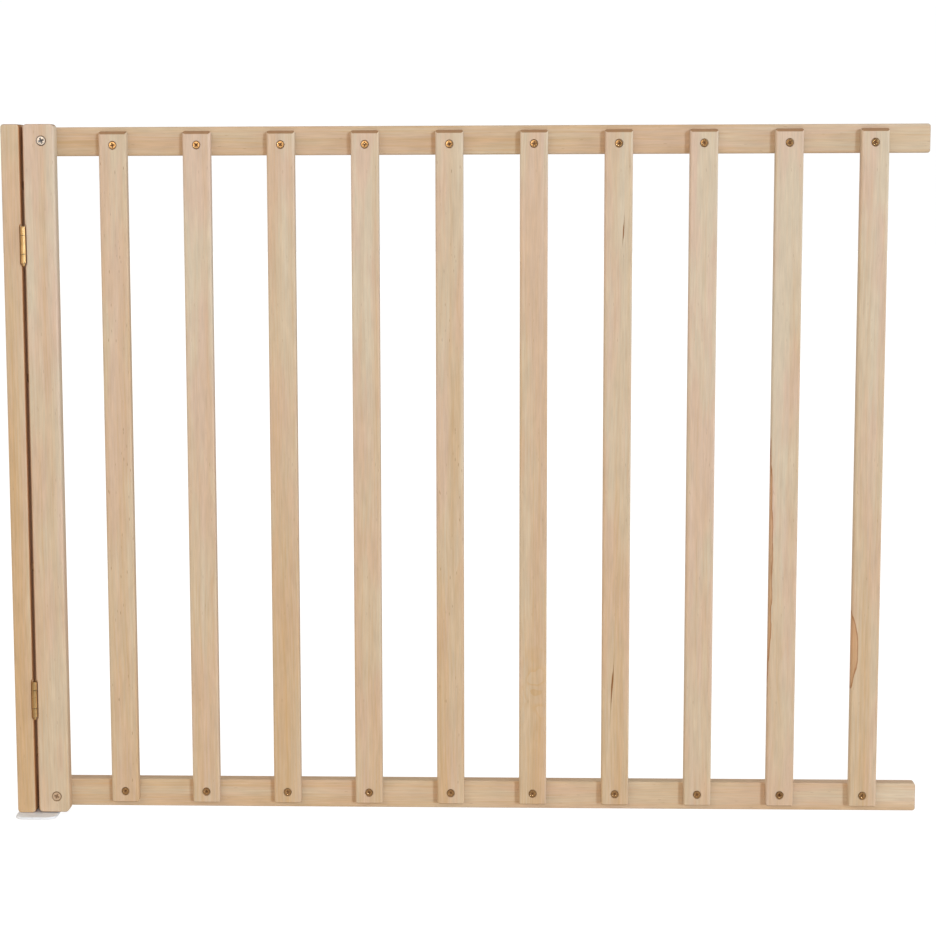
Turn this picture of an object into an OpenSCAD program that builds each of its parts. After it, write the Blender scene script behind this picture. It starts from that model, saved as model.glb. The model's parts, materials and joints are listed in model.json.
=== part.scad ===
// Wall-mounted wooden safety gate: a post with two butt hinges, and a swinging frame of two rails and ten
// slats. Each slat crosses each rail on a single screw, so the frame also racks and its free end lifts.
// X runs from the wall post to the free end, Y from the front of the gate to its back, and Z is up.
// The origin is under the middle of the gate, at the level of the foot plate's underside.

/* [Gate] */
// Height of the wall post above its foot plate
gate_height = 812; // [650:1:1000]
// Distance from the centre line of one slat to the next
slat_pitch = 97; // [80:0.5:120]
// Distance from the stile's screws to the first slat's centre line
first_slat_distance = 81.5; // [50:0.5:120]
// Length of each rail past the last slat, left long to be cut to the doorway
rail_stub = 48; // [20:1:120]

/* [Wall post] */
// Width of the wall post, seen from the front
post_width = 21.8; // [20:0.1:40]
// Depth of the wall post, from front to back
post_depth = 38; // [32:0.5:60]
// Radius of the post's long front edges
post_edge_radius = 2.5; // [1:0.1:5]
// Radius of the post's corners, seen from the front
post_corner_radius = 4; // [1:0.1:8]

/* [Hinge stile] */
// Width of the hinge stile
stile_width = 36.5; // [32:0.5:60]
// Thickness of the hinge stile
stile_thickness = 19; // [17.5:0.5:30]
// Distance from the stile's screws to its free edge
stile_screw_margin = 15; // [10:0.5:18]
// Radius of the stile's long front edges
stile_edge_radius = 2.5; // [1:0.1:4]
// Radius of the stile's corners, seen from the front
stile_corner_radius = 5; // [1:0.1:8]
// Gap between the post and the stile, which holds the hinge leaves
hinge_gap = 3.8; // [3.2:0.1:5]
// Gap between the stile's foot and the foot plate
stile_foot_gap = 1; // [0.5:0.1:20]

/* [Rails] */
// Height of each rail
rail_height = 33; // [28:0.5:50]
// Thickness of each rail
rail_thickness = 19; // [17:0.5:30]
// Distance from each end of the stile to the outer edge of the nearest rail
rail_inset = 3.5; // [0:0.5:30]
// Length of each rail that runs past the stile's screws, towards the post
rail_tail = 18; // [12:0.5:21]
// Radius of the rails' long edges
rail_edge_radius = 1.8; // [0.5:0.1:4]
// Radius of the corners at the rails' ends
rail_end_radius = 3; // [1:0.1:6]

/* [Slats] */
// Width of each slat
slat_width = 32; // [22:0.5:50]
// Thickness of each slat
slat_thickness = 13; // [9:0.5:18]
// Length of each slat above its top screw
slat_head_length = 16; // [12:0.5:40]
// Length of each slat below its bottom screw
slat_foot_length = 13; // [10:0.5:18]
// Size of the bevel on the top front edge of each slat
slat_bevel = 4.5; // [0.5:0.1:6]
// Radius of the slats' long front edges
slat_edge_radius = 2.3; // [0.5:0.1:4]
// Radius of the slats' corners, seen from the front
slat_corner_radius = 2.5; // [0.5:0.1:6]

/* [Gate screws] */
// Distance from a rail's centre line to its slat screws, towards the middle of the gate
slat_screw_inset = 4.5; // [0:0.5:8]
// Distance from a rail's centre line to its stile screw, away from the middle of the gate
stile_screw_outset = 1; // [0:0.5:4]
// Diameter of a slat screw's head
slat_screw_head = 8.6; // [6:0.1:11]
// Diameter of a slat screw's shank
slat_screw_shank = 4.2; // [3:0.1:5]
// Length of a slat screw
slat_screw_length = 28; // [20:1:30]
// Diameter of a stile screw's head
stile_screw_head = 10.6; // [8:0.1:13]
// Diameter of a stile screw's shank
stile_screw_shank = 5; // [4:0.1:6]
// Length of a stile screw
stile_screw_length = 34; // [27:1:36]

/* [Hinges] */
// Distance from each end of the post to the middle of the nearest hinge
hinge_distance = 138; // [110:1:200]
// Height of each hinge
hinge_height = 42; // [34:1:60]
// Height of the middle knuckle, which belongs to the gate leaf
middle_knuckle = 21; // [12:0.5:24]
// Outer diameter of the hinge barrel
barrel_diameter = 6; // [5:0.1:8]
// Diameter of the hinge pin
pin_diameter = 3; // [2:0.1:3.5]
// Length of pin that shows below the barrel
pin_tip = 4; // [1:0.5:8]
// Distance that the pin's axis stands in front of the post and the stile
pin_proud = 0.5; // [0.2:0.1:3]
// Thickness of a hinge leaf
leaf_thickness = 1.25; // [1:0.05:1.5]
// Depth of a hinge leaf behind the front of the gate
leaf_depth = 15; // [12:0.5:17]
// Distance between the two screws of a hinge leaf
leaf_screw_spacing = 26; // [20:0.5:28]
// Diameter of a leaf screw's head
leaf_screw_head = 5.6; // [4:0.1:6.5]
// Diameter of a leaf screw's shank
leaf_screw_shank = 2.8; // [2:0.1:3.2]
// Length of a leaf screw
leaf_screw_length = 16; // [10:0.5:17]
// Length of the taper at each end of the notch in the wood around a hinge barrel
notch_taper = 5; // [3:0.5:10]

/* [Foot plate] */
// Length of the foot plate, from the wall towards the stile
foot_length = 49; // [30:1:80]
// Distance that the foot plate runs out in front of the post
foot_reach = 22; // [0:1:60]
// Thickness of the foot plate
foot_thickness = 3; // [2.5:0.1:6]
// Radius of the foot plate's front corners
foot_corner_radius = 12; // [1:0.5:14]
// Distance between the two screws of the foot plate
foot_screw_spacing = 20; // [12:1:24]
// Diameter of a foot screw's head
foot_screw_head = 6.4; // [5:0.1:7]
// Diameter of a foot screw's shank
foot_screw_shank = 3.5; // [3:0.1:4]
// Length of a foot screw
foot_screw_length = 25; // [12:1:35]

/* [Wall fixing] */
// Distance from each end of the post to the nearest wall screw hole
wall_hole_distance = 70; // [30:1:90]
// Diameter of the holes for the wall screws
wall_hole = 5; // [4:0.1:6]
// Diameter of the countersinks for the wall screws
wall_countersink = 10; // [8:0.1:12]

/* [Clearances] */
// Gap between the rails and what is screwed to their fronts
face_gap = 0.3; // [0.1:0.1:1]
// Radial play of a pivot that turns on its screw
pivot_play = 0.1; // [0.05:0.01:0.3]
// Radial play of the slats on their bottom screws, which takes up the frame's small mismatch as it racks
bottom_play = 0.5; // [0.5:0.05:1]
// Radial gap around the head of a gate screw
head_play = 0.6; // [0.5:0.05:1]
// Depth of a screw head below the surface around it
head_recess = 0.2; // [0:0.05:0.5]
// Radial gap between a screw's shank and the pilot hole that it is driven into
pilot_play = 0.05; // [0.02:0.01:0.1]
// Radial play of a hinge pin in the gate leaf's knuckle
pin_play = 0.05; // [0.03:0.01:0.1]
// Gap between one knuckle and the next
knuckle_gap = 0.3; // [0.1:0.05:0.6]
// Gap between a knuckle and the other leaf, which turns past it
barrel_play = 0.5; // [0.3:0.1:1]
// Gap between the hinge barrel and the notch around it in the wood
notch_play = 0.9; // [0.5:0.1:1.5]

/* [Hidden] */
$fn = 48;

// Each slat is a node of its own, so NODES fixes their number.
slat_count = 10;
// How far a cutter runs past the surface that it opens.
over = 1;
// Height of the straight rim on a countersunk screw head.
head_rim = 0.5;
// Sizes of the cross recess in a screw head, as shares of the head's diameter.
recess_width = 0.13;
recess_span = 0.54;
recess_depth = 0.2;
// Turn of each screw's recess from that of the screw before it.
recess_turn = 37;

// Places from left to right, counted from the wall.
pin_x = post_width + hinge_gap / 2;
stile_x = post_width + hinge_gap;
stile_screw_x = stile_x + stile_width - stile_screw_margin;
first_slat_x = stile_screw_x + first_slat_distance;
rail_start_x = stile_screw_x - rail_tail;
rail_end_x = first_slat_x + (slat_count - 1) * slat_pitch + slat_width / 2 + rail_stub;

// Places from front to back, counted from the front of the post and the stile.
rail_y = stile_thickness + face_gap;
slat_y = stile_thickness - slat_thickness;
pin_y = -pin_proud;
back_y = max(post_depth, rail_y + rail_thickness);

// Heights, counted from the floor.
post_z = foot_thickness;
stile_z = post_z + stile_foot_gap;
top_z = post_z + gate_height;
stile_height = top_z - stile_z;
top_rail_z = top_z - rail_inset - rail_height / 2;
bottom_rail_z = stile_z + rail_inset + rail_height / 2;
top_stile_screw_z = top_rail_z + stile_screw_outset;
bottom_stile_screw_z = bottom_rail_z - stile_screw_outset;
top_slat_screw_z = top_rail_z - slat_screw_inset;
bottom_slat_screw_z = bottom_rail_z + slat_screw_inset;
slat_z = bottom_slat_screw_z - slat_foot_length;
slat_length = top_slat_screw_z + slat_head_length - slat_z;
upper_hinge_z = top_z - hinge_distance;
lower_hinge_z = post_z + hinge_distance;

// Sizes of the hinge.
end_knuckle = (hinge_height - middle_knuckle) / 2;
barrel_radius = barrel_diameter / 2;
pin_radius = pin_diameter / 2;

function slat_x(index) = first_slat_x + index * slat_pitch;

// Moves a piece from places counted off the wall and the gate's front to places counted off the origin.
module placed() {
    translate([-rail_end_x / 2, (foot_reach - back_y) / 2, 0]) children();
}

// ---- Outlines ----

// A rectangle with all four corners rounded.
module round_rectangle(width, height, radius) {
    translate([radius, 0]) square([width - 2 * radius, height]);
    translate([0, radius]) square([width, height - 2 * radius]);
    for (x = [radius, width - radius], y = [radius, height - radius])
        translate([x, y]) circle(radius);
}

// A rectangle whose two front corners, at y = 0, are rounded.
module front_round_rectangle(width, depth, radius) {
    translate([radius, 0]) square([width - 2 * radius, depth]);
    translate([0, radius]) square([width, depth - radius]);
    for (x = [radius, width - radius])
        translate([x, radius]) circle(radius);
}

// ---- Bars ----

// An upright bar with rounded front edges and rounded corners.
module upright(width, depth, height, edge_radius, corner_radius) {
    intersection() {
        linear_extrude(height) front_round_rectangle(width, depth, edge_radius);
        translate([0, depth, 0]) rotate([90, 0, 0])
            linear_extrude(depth) round_rectangle(width, height, corner_radius);
    }
}

// A rail along X with all its long edges and its end corners rounded.
module rail_bar(length) {
    intersection() {
        rotate([90, 0, 90])
            linear_extrude(length) round_rectangle(rail_thickness, rail_height, rail_edge_radius);
        translate([0, rail_thickness, 0]) rotate([90, 0, 0])
            linear_extrude(rail_thickness) round_rectangle(length, rail_height, rail_end_radius);
    }
}

// ---- Screws and their holes, which run along +Z from the surface at z = 0 ----

// A countersunk screw with a cross recess. Its head lies below the surface by the recess depth given.
module screw(head, shank, length, recess, turn = 0) {
    head_r = head / 2;
    shank_r = shank / 2;
    translate([0, 0, recess]) difference() {
        rotate_extrude() polygon([
            [0, 0],
            [head_r, 0],
            [head_r, head_rim],
            [shank_r, head_rim + head_r - shank_r],
            [shank_r, length - shank_r],
            [0, length]
        ]);
        for (angle = [0, 90])
            rotate(turn + angle) translate([0, 0, head * recess_depth / 2 - over / 2])
                cube([head * recess_span, head * recess_width, head * recess_depth + over], center = true);
    }
}

// The countersunk hole that such a screw goes through or into.
module screw_hole(head, shank, depth, recess, around_head, around_shank) {
    head_r = head / 2 + around_head;
    shank_r = shank / 2 + around_shank;
    rotate_extrude() polygon([
        [0, -over],
        [head_r, -over],
        [head_r, recess + head_rim],
        [shank_r, recess + head_rim + head_r - shank_r],
        [shank_r, depth],
        [0, depth]
    ]);
}

// The straight pilot hole that the end of a screw is driven into, from the depth `from` on.
module pilot_hole(shank, from, to) {
    translate([0, 0, from]) cylinder(h = to - from, r = shank / 2 + pilot_play);
}

// ---- Hinges, about a vertical axis at x = 0, y = 0 with the middle of the hinge at z = 0 ----

// A length of solid barrel between two heights.
module barrel(from, to, radius = barrel_radius) {
    translate([0, 0, from]) cylinder(h = to - from, r = radius);
}

// The heights of the screws of a leaf.
leaf_screw_heights = [-leaf_screw_spacing / 2, leaf_screw_spacing / 2];
// The middle of a leaf behind the hinge axis, clear of the barrel.
leaf_screw_y = (leaf_depth + pin_proud + barrel_radius) / 2;

// A leaf that lies against the wood on the side given: -1 for the post, and 1 for the stile.
module leaf_plate(side) {
    inner = hinge_gap / 2 - leaf_thickness;
    translate([side > 0 ? inner : -inner - leaf_thickness, 0, -hinge_height / 2])
        cube([leaf_thickness, leaf_depth + pin_proud, hinge_height]);
}

// The screws of one leaf, or their holes, placed by the surface of the leaf that faces the gap.
module at_leaf_screws(side) {
    inner = hinge_gap / 2 - leaf_thickness;
    for (z = leaf_screw_heights)
        translate([side * inner, leaf_screw_y, z]) rotate([0, side * 90, 0]) children();
}

module leaf_screw_hole() {
    screw_hole(leaf_screw_head, leaf_screw_shank, leaf_screw_length + over, 0, pilot_play, pilot_play);
}

// The wall leaf carries the top and bottom knuckles.
module wall_leaf() {
    color("#B8923F") difference() {
        union() {
            difference() {
                leaf_plate(-1);
                barrel(
                    -middle_knuckle / 2 - knuckle_gap, middle_knuckle / 2 + knuckle_gap,
                    barrel_radius + barrel_play
                );
            }
            barrel(-hinge_height / 2, -middle_knuckle / 2 - knuckle_gap);
            barrel(middle_knuckle / 2 + knuckle_gap, hinge_height / 2);
        }
        barrel(-hinge_height / 2 - over, hinge_height / 2 + over, pin_radius);
        at_leaf_screws(-1) leaf_screw_hole();
    }
}

// The gate leaf carries the middle knuckle.
module gate_leaf() {
    color("#B8923F") difference() {
        union() {
            difference() {
                leaf_plate(1);
                barrel(-hinge_height / 2 - over, -middle_knuckle / 2, barrel_radius + barrel_play);
                barrel(middle_knuckle / 2, hinge_height / 2 + over, barrel_radius + barrel_play);
            }
            barrel(-middle_knuckle / 2, middle_knuckle / 2);
        }
        barrel(-hinge_height / 2 - over, hinge_height / 2 + over, pin_radius + pin_play);
        at_leaf_screws(1) leaf_screw_hole();
    }
}

module hinge_pin() {
    color("#8E6B2A") barrel(-hinge_height / 2 - pin_tip, hinge_height / 2, pin_radius);
}

module leaf_screws(side) {
    color("#B8923F") at_leaf_screws(side)
        screw(leaf_screw_head, leaf_screw_shank, leaf_screw_length, 0);
}

module at_upper_hinge() { placed() translate([pin_x, pin_y, upper_hinge_z]) children(); }
module at_lower_hinge() { placed() translate([pin_x, pin_y, lower_hinge_z]) children(); }

// The room that the barrel and the pin's tip take in the wood, tapered at both ends to the gap's width.
module hinge_notch() {
    radius = barrel_radius + notch_play;
    half = hinge_height / 2 + notch_play;
    barrel(-half, half, radius);
    for (end = [0, 1])
        mirror([0, 0, end]) translate([0, 0, half])
            cylinder(h = notch_taper, r1 = radius, r2 = hinge_gap / 2);
}

// What the hinges take out of the wood: room for the barrels, and the leaf screws' holes.
module hinge_cuts(side) {
    for (z = [upper_hinge_z, lower_hinge_z])
        translate([pin_x, pin_y, z]) {
            hinge_notch();
            at_leaf_screws(side) leaf_screw_hole();
        }
}

// ---- Wall post and foot plate ----

wall_hole_heights = [
    for (step = [0:3])
        post_z + wall_hole_distance + step * (gate_height - 2 * wall_hole_distance) / 3
];
foot_screw_places = [
    for (step = [-1, 1]) [post_width / 2, post_depth / 2 + step * foot_screw_spacing / 2]
];

module wall_post() {
    color("#C7AA8F") placed() difference() {
        translate([0, 0, post_z])
            upright(post_width, post_depth, gate_height, post_edge_radius, post_corner_radius);
        hinge_cuts(-1);
        for (z = wall_hole_heights)
            translate([post_width, post_depth / 2, z]) rotate([0, -90, 0])
                screw_hole(wall_countersink, wall_hole, post_width + over, 0, 0, 0);
        for (place = foot_screw_places)
            translate([place[0], place[1], 0])
                pilot_hole(foot_screw_shank, foot_thickness - over, head_recess + foot_screw_length + over);
    }
}

module foot_plate() {
    color("#F4F4F2") placed() difference() {
        translate([0, -foot_reach, 0])
            linear_extrude(foot_thickness)
                front_round_rectangle(foot_length, foot_reach + post_depth, foot_corner_radius);
        for (place = foot_screw_places)
            translate([place[0], place[1], 0])
                screw_hole(
                    foot_screw_head, foot_screw_shank, foot_thickness + over,
                    head_recess, pilot_play, pilot_play
                );
    }
}

module foot_plate_screws() {
    color("#B9BCC0") placed()
        for (place = foot_screw_places)
            translate([place[0], place[1], 0])
                screw(foot_screw_head, foot_screw_shank, foot_screw_length, head_recess);
}

module upper_hinge_wall_leaf() { at_upper_hinge() wall_leaf(); }
module lower_hinge_wall_leaf() { at_lower_hinge() wall_leaf(); }
module upper_hinge_pin() { at_upper_hinge() hinge_pin(); }
module lower_hinge_pin() { at_lower_hinge() hinge_pin(); }

module wall_leaf_screws() {
    at_upper_hinge() leaf_screws(-1);
    at_lower_hinge() leaf_screws(-1);
}

// ---- Hinge stile ----

module hinge_stile() {
    color("#D4BA9F") placed() difference() {
        translate([stile_x, 0, stile_z])
            upright(stile_width, stile_thickness, stile_height, stile_edge_radius, stile_corner_radius);
        hinge_cuts(1);
        for (z = [top_stile_screw_z, bottom_stile_screw_z])
            translate([stile_screw_x, 0, z]) rotate([-90, 0, 0])
                screw_hole(
                    stile_screw_head, stile_screw_shank, stile_thickness + over,
                    head_recess, head_play, pivot_play
                );
    }
}

module upper_hinge_gate_leaf() { at_upper_hinge() gate_leaf(); }
module lower_hinge_gate_leaf() { at_lower_hinge() gate_leaf(); }

module gate_leaf_screws() {
    at_upper_hinge() leaf_screws(1);
    at_lower_hinge() leaf_screws(1);
}

// ---- Rails and the screws driven into them ----

// A rail at the height given, with pilot holes for its stile screw and its slat screws.
module rail(rail_z, stile_screw_z, slat_screw_z) {
    color("#D2B798") placed() difference() {
        translate([rail_start_x, rail_y, rail_z - rail_height / 2]) rail_bar(rail_end_x - rail_start_x);
        translate([stile_screw_x, 0, stile_screw_z]) rotate([-90, 0, 0])
            pilot_hole(stile_screw_shank, stile_thickness, head_recess + stile_screw_length + over);
        for (index = [0:slat_count - 1])
            translate([slat_x(index), slat_y, slat_screw_z]) rotate([-90, 0, 0])
                pilot_hole(slat_screw_shank, slat_thickness, head_recess + slat_screw_length + over);
    }
}

module stile_screw(z, turn) {
    color("#B9BCC0") placed() translate([stile_screw_x, 0, z]) rotate([-90, 0, 0])
        screw(stile_screw_head, stile_screw_shank, stile_screw_length, head_recess, turn);
}

module slat_screws(z, first_turn) {
    color("#B8923F") placed()
        for (index = [0:slat_count - 1])
            translate([slat_x(index), slat_y, z]) rotate([-90, 0, 0])
                screw(
                    slat_screw_head, slat_screw_shank, slat_screw_length,
                    head_recess, first_turn + index * recess_turn
                );
}

module top_rail() { rail(top_rail_z, top_stile_screw_z, top_slat_screw_z); }
module top_stile_screw() { stile_screw(top_stile_screw_z, 20); }
module top_slat_screws() { slat_screws(top_slat_screw_z, 10); }
module bottom_rail() { rail(bottom_rail_z, bottom_stile_screw_z, bottom_slat_screw_z); }
module bottom_stile_screw() { stile_screw(bottom_stile_screw_z, 65); }
module bottom_slat_screws() { slat_screws(bottom_slat_screw_z, 55); }

// ---- Slats ----

module slat(index) {
    color("#D0B595") placed() translate([slat_x(index), slat_y, 0]) difference() {
        translate([-slat_width / 2, 0, slat_z])
            upright(slat_width, slat_thickness, slat_length, slat_edge_radius, slat_corner_radius);
        translate([0, 0, slat_z + slat_length]) rotate([45, 0, 0])
            cube([slat_width + 2 * over, 4 * slat_bevel, slat_bevel * sqrt(2)], center = true);
        translate([0, 0, top_slat_screw_z]) rotate([-90, 0, 0])
            screw_hole(
                slat_screw_head, slat_screw_shank, slat_thickness + over,
                head_recess, head_play, pivot_play
            );
        translate([0, 0, bottom_slat_screw_z]) rotate([-90, 0, 0])
            screw_hole(
                slat_screw_head, slat_screw_shank, slat_thickness + over,
                head_recess, head_play, bottom_play
            );
    }
}

module slat_01() { slat(0); }
module slat_02() { slat(1); }
module slat_03() { slat(2); }
module slat_04() { slat(3); }
module slat_05() { slat(4); }
module slat_06() { slat(5); }
module slat_07() { slat(6); }
module slat_08() { slat(7); }
module slat_09() { slat(8); }
module slat_10() { slat(9); }

wall_post();
foot_plate();
foot_plate_screws();
upper_hinge_wall_leaf();
lower_hinge_wall_leaf();
upper_hinge_pin();
lower_hinge_pin();
wall_leaf_screws();
hinge_stile();
upper_hinge_gate_leaf();
lower_hinge_gate_leaf();
gate_leaf_screws();
top_rail();
top_stile_screw();
top_slat_screws();
bottom_rail();
bottom_stile_screw();
bottom_slat_screws();
slat_01();
slat_02();
slat_03();
slat_04();
slat_05();
slat_06();
slat_07();
slat_08();
slat_09();
slat_10();
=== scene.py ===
"""The looks of a wall-mounted wooden safety gate: pale planed maple, brass butt hinges, brass and zinc
screws, and a white plastic foot plate. Lengths are in metres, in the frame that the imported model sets."""

import json
import math

import bmesh
import bpy
import numpy as np
from mathutils import Matrix, Vector

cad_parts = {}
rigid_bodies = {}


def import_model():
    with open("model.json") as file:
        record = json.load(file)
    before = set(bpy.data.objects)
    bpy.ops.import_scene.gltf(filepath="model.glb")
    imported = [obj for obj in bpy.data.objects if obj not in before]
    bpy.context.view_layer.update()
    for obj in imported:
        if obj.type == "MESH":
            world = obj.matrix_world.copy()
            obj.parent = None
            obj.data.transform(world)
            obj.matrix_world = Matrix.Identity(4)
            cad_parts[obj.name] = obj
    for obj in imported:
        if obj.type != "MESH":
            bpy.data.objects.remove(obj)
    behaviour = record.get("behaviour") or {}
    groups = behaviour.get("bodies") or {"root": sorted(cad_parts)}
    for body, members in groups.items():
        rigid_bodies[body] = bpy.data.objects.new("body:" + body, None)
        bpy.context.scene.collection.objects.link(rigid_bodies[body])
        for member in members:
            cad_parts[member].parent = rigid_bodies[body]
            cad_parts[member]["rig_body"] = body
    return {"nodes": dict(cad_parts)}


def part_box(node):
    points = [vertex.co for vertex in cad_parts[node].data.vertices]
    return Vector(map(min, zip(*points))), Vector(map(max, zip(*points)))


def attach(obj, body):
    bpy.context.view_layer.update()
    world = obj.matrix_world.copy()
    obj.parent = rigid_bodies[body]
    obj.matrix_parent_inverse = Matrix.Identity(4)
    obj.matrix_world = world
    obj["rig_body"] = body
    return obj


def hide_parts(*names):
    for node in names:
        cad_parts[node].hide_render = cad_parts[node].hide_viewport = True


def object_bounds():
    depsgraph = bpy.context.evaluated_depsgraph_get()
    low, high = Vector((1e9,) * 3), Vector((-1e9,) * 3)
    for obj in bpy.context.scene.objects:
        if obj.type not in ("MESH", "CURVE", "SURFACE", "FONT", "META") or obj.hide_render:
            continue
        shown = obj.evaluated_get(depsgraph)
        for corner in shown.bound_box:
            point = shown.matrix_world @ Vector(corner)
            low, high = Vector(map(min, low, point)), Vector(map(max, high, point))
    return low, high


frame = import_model()
cad_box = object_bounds()

mm = 0.001
SLATS = [f"slat_{number:02d}" for number in range(1, 11)]
SIDE_AXES = np.array([[1, 0], [0, 1], [-1, 0], [0, -1]])

# ---- Sizes of the finish on the wood ----
SUPPORT = 0.5 * mm
BACK_ROUNDING = 0.8 * mm
SLAT_ROUNDING = 2.3 * mm
SLAT_BEVEL = 4.5 * mm
SLAT_CORNER = 2.5 * mm
RAIL_ROUNDING = 1.8 * mm
RAIL_CORNER = 3 * mm
POST_ROUNDING = 2.5 * mm
POST_CORNER = 4 * mm
STILE_CORNER = 5 * mm
END_ROUNDING = 1.2 * mm
MOUTH = 0.35 * mm

# A cutter reaches this far past the surfaces that it cuts.
OVER = 1 * mm

# ---- Sizes of the screws and the hinges ----
HEAD_SUNK = 0.2 * mm
HEAD_RIM = 0.5 * mm
HEAD_PLAY = 0.6 * mm
CROWN_RISE = 0.12 * mm
CROSS_HALF_WIDTH = 0.19
CROSS_REACH = 0.64
CROSS_DEPTH = 0.32
RIM_REACH = [0.97, 0.993, 1]
RIM_EASE = [0.02 * mm, 0.07 * mm, 0.17 * mm]
POINT_LENGTH = 1.5
POINT_RADIUS = 0.2
POINT_SHORT = 0.3 * mm
SLAT_SCREW_SHANK = 2.1 * mm
STILE_SCREW_SHANK = 2.5 * mm
FOOT_SCREW_SHANK = 1.75 * mm
FOOT_SCREW_HOLE = 28 * mm
LEAF_SCREW_SHANK = 1.4 * mm
LEAF_SCREW_HEAD = 2.8 * mm
LEAF_SCREW_SUNK = 0.13 * mm
LEAF_SCREW_LENGTH = 16 * mm
LEAF_SCREW_SPACING = 26 * mm
TOP_PLAY = 0.1 * mm
BOTTOM_PLAY = 0.5 * mm
BARREL = 3 * mm
BARREL_PLAY = 0.5 * mm
PIN = 1.5 * mm
PIN_PLAY = 0.05 * mm
PIN_TIP = 4 * mm
PIN_PROUD = 0.5 * mm
MIDDLE_KNUCKLE = 21 * mm
KNUCKLE_GAP = 0.8 * mm
LEAF_THICKNESS = 1.25 * mm
LEAF_EASE = 0.22 * mm
LEAF_CORNER = 0.3 * mm
SEAM = 0.3 * mm
NOTCH_PLAY = 1.2 * mm
NOTCH_TAPER = 5 * mm
NOTCH_SHORT = 0.3 * mm
WALL_HOLE = 2.5 * mm
WALL_COUNTERSINK = 5 * mm
WALL_HOLE_DISTANCE = 70 * mm
FOOT_CORNER = 12 * mm
FOOT_ROUNDING = 1 * mm
FOOT_UNDERSIDE = 0.9 * mm

# ---- Colours, in numbers from 0 to 255 ----
PALE_MAPLE = (214, 199, 176)
ROSY_MAPLE = (216, 191, 170)
HONEY_MAPLE = (205, 170, 127)
# End grain is darker wood; this colour is deepened further as painted shade for faces that turn toward the
# ends of the grain, such as the slats' top bevels.
END_GRAIN_AND_SHADE = (158, 116, 76)
FLECK = (150, 108, 72)
MINERAL = (136, 82, 20)
STAIN = (194, 134, 76)
STAIN_RIM = (152, 92, 40)
# Painted shade for the gap between post and stile, put on the front half of their facing sides.
GAP_SHADE = (182, 112, 44)
# Painted shade on the walls of the screw holes.
HOLE_SHADE = (96, 54, 26)
WHITE_PLASTIC = (244, 248, 253)
HANDLED_PLASTIC = (226, 230, 236)


# ---- Surfaces ----

def closed_solid(rings, flat=None, painted_shade=None):
    """A closed solid as rows of points that run round it, with a flat face over the first and the last row.
    flat marks the faces between rows that are planed flat, and the third argument is the share of painted
    shade at each point, from 0 to 1."""
    rows, columns = rings.shape[:2]
    flat = np.zeros((rows - 1, columns), bool) if flat is None else flat
    painted_shade = np.zeros((rows, columns)) if painted_shade is None else painted_shade
    return rings, flat, painted_shade


def build(name, solids):
    """One mesh object of closed solids, with its faces outward."""
    points, faces, flats, painted_shades, first = [], [], [], [], 0
    for rings, flat, painted_shade in solids:
        rows, columns = rings.shape[:2]
        row, column = np.indices((rows - 1, columns))
        right = (column + 1) % columns
        corners = [row * columns + column, row * columns + right]
        corners += [corners[1] + columns, corners[0] + columns]
        faces += (first + np.stack(corners, -1).reshape(-1, 4)).tolist()
        faces += [list(range(first, first + columns))]
        faces += [list(range(first + (rows - 1) * columns, first + rows * columns))]
        flats += [flat.ravel(), np.ones(2, bool)]
        points.append(rings.reshape(-1, 3))
        painted_shades.append(painted_shade.ravel())
        first += rows * columns
    mesh = bpy.data.meshes.new(name)
    mesh.from_pydata(np.concatenate(points), [], faces)
    mesh.polygons.foreach_set("use_smooth", ~np.concatenate(flats))
    # Each point's share of painted shade, which darkens recesses and hidden parts, is kept as an attribute.
    mesh.attributes.new("painted_shade", "FLOAT", "POINT").data.foreach_set("value", np.concatenate(painted_shades))
    shell = bmesh.new()
    shell.from_mesh(mesh)
    bmesh.ops.recalc_face_normals(shell, faces=shell.faces)
    shell.to_mesh(mesh)
    shell.free()
    piece = bpy.data.objects.new(name, mesh)
    bpy.context.scene.collection.objects.link(piece)
    return piece


def settle(piece):
    """Gives a piece the mesh that its modifiers make, with creases where it turns by more than 30 degrees."""
    rough = piece.data
    shown = piece.evaluated_get(bpy.context.evaluated_depsgraph_get())
    piece.data = bpy.data.meshes.new_from_object(shown)
    piece.modifiers.clear()
    bpy.data.meshes.remove(rough)
    piece.data.name = piece.name
    piece.data.set_sharp_from_angle(angle=math.radians(30))
    return piece


def carve(piece, cutters):
    """Takes closed solids out of a piece."""
    tool = build("tool", cutters)
    cut = piece.modifiers.new("carve", "BOOLEAN")
    cut.operation = "DIFFERENCE"
    cut.solver = "EXACT"
    cut.object = tool
    settle(piece)
    bpy.data.objects.remove(tool)
    return piece


def turn(size, held, steps=12):
    """Inset and depth along a side as it turns from the face to the edge, both from 0 to size. The slope
    grows evenly from level to upright, as on a quarter circle, but stays at 45 degrees for the held share."""
    share = (1 - held) / 2
    way = (np.arange(steps) + 0.5) / steps
    slope = math.pi / 4 * (np.clip(way / share, 0, 1) + np.clip((way - 1 + share) / share, 0, 1))
    inset = size * (1 - np.append(0, np.cumsum(np.cos(slope))) / np.cos(slope).sum())
    depth = size * np.append(0, np.cumsum(np.sin(slope))) / np.sin(slope).sum()
    return inset, depth


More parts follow.
